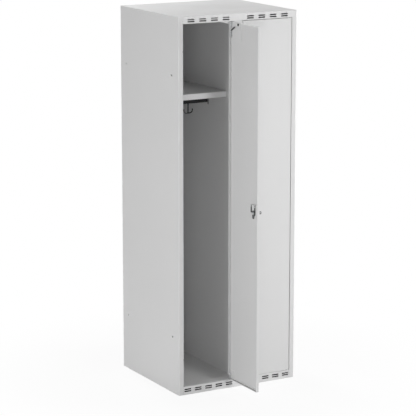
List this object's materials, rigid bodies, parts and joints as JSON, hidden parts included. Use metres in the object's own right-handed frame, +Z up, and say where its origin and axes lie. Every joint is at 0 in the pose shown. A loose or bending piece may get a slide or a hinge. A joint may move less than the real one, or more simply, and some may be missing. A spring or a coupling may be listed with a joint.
{
  "type": "metal locker",
  "caption": "Free-standing sheet-metal clothes locker with side-by-side bays, lockable right-hung doors, hat shelves, sliding coat hooks and vent slots.",
  "frame": {"origin": "on the floor, in the middle of the cabinet", "axes": "+X along the front to the right, +Y from the front to the back, +Z up"},
  "size_m": [0.6, 0.7852, 1.7],
  "materials": {
    "paint": "light grey powder coat, fine orange peel, satin",
    "black_steel": "black satin",
    "zinc": "zinc plated",
    "polished_metal": "nickel plated",
    "nylon": "moulded",
    "rubber": "matt"
  },
  "bodies": {
    "cabinet": {"back_panel": "paint", "back_rivets": "paint", "bottom_rail": "paint", "centre_divider": "paint", "centre_post": "paint", "door_buffers_left": "rubber", "door_buffers_right": "rubber", "floor_channel": "paint", "floor_panel": "paint", "hinge_bushes": "nylon", "hinge_gussets": "paint", "hook_rail_left": "black_steel", "hook_rail_right": "black_steel", "rail_hangers_left": "black_steel", "rail_hangers_right": "black_steel", "shelf_clips_left": "paint", "shelf_clips_right": "paint", "shelf_left": "paint", "shelf_right": "paint", "side_panel_left": "paint", "side_panel_right": "paint", "side_post_right": "paint", "top_panel": "paint", "top_rail": "paint"},
    "door_left": {"door_left": "paint", "upper_hinge_plate_left": "paint", "lower_hinge_plate_left": "paint", "lower_hinge_pin_left": "zinc", "pin_spring_left": "zinc", "hinge_screw_left": "black_steel", "lock_cylinder_left": "polished_metal", "lock_nut_left": "zinc", "lock_bracket_left": "paint", "bracket_screws_left": "zinc", "lock_case_left": "black_steel"},
    "lock_left": {"lock_core_left": "polished_metal", "lock_cam_left": "black_steel", "cam_screw_left": "zinc", "key_left": "polished_metal"},
    "upper_pin_left": {"upper_hinge_pin_left": "zinc"},
    "hook_a_left": {"hook_a_left": "black_steel"},
    "hook_b_left": {"hook_b_left": "black_steel"},
    "door_right": {"door_right": "paint", "upper_hinge_plate_right": "paint", "lower_hinge_plate_right": "paint", "lower_hinge_pin_right": "zinc", "pin_spring_right": "zinc", "hinge_screw_right": "black_steel", "lock_cylinder_right": "polished_metal", "lock_nut_right": "zinc", "lock_bracket_right": "paint", "bracket_screws_right": "zinc", "lock_case_right": "black_steel"},
    "lock_right": {"lock_core_right": "polished_metal", "lock_cam_right": "black_steel", "cam_screw_right": "zinc", "key_right": "polished_metal"},
    "upper_pin_right": {"upper_hinge_pin_right": "zinc"},
    "hook_a_right": {"hook_a_right": "black_steel"},
    "hook_b_right": {"hook_b_right": "black_steel"}
  },
  "joints": [
    {"name": "door_left_swing", "type": "hinge", "parent": "cabinet", "child": "door_left", "pos_m": [-0.033, -0.267, 0.853], "axis": [0, 0, 1], "range_deg": [-90, 10]},
    {"name": "door_right_swing", "type": "hinge", "parent": "cabinet", "child": "door_right", "pos_m": [0.265, -0.267, 0.853], "axis": [0, 0, 1], "range_deg": [0, 100]},
    {"name": "lock_left_turn", "type": "hinge", "parent": "door_left", "child": "lock_left", "pos_m": [-0.025, -0.483, 0.848], "axis": [-1, 0, 0], "range_deg": [0, 90]},
    {"name": "lock_right_turn", "type": "hinge", "parent": "door_right", "child": "lock_right", "pos_m": [0.049, -0.275, 0.848], "axis": [0, 1, 0], "range_deg": [0, 90]},
    {"name": "upper_pin_left_slide", "type": "slide", "parent": "door_left", "child": "upper_pin_left", "axis": [0, 0, 1], "range_m": [-0.01, 0], "stiffness_N_per_m": 300, "springref_m": 0.01, "deforming": ["pin_spring_left"]},
    {"name": "upper_pin_right_slide", "type": "slide", "parent": "door_right", "child": "upper_pin_right", "axis": [0, 0, 1], "range_m": [-0.01, 0], "stiffness_N_per_m": 300, "springref_m": 0.01, "deforming": ["pin_spring_right"]},
    {"name": "hook_a_left_slide", "type": "slide", "parent": "cabinet", "child": "hook_a_left", "axis": [1, 0, 0], "range_m": [-0.06, 0.02]},
    {"name": "hook_b_left_slide", "type": "slide", "parent": "cabinet", "child": "hook_b_left", "axis": [1, 0, 0], "range_m": [-0.02, 0.06]},
    {"name": "hook_a_right_slide", "type": "slide", "parent": "cabinet", "child": "hook_a_right", "axis": [1, 0, 0], "range_m": [-0.06, 0.02]},
    {"name": "hook_b_right_slide", "type": "slide", "parent": "cabinet", "child": "hook_b_right", "axis": [1, 0, 0], "range_m": [-0.02, 0.06]}
  ]
}
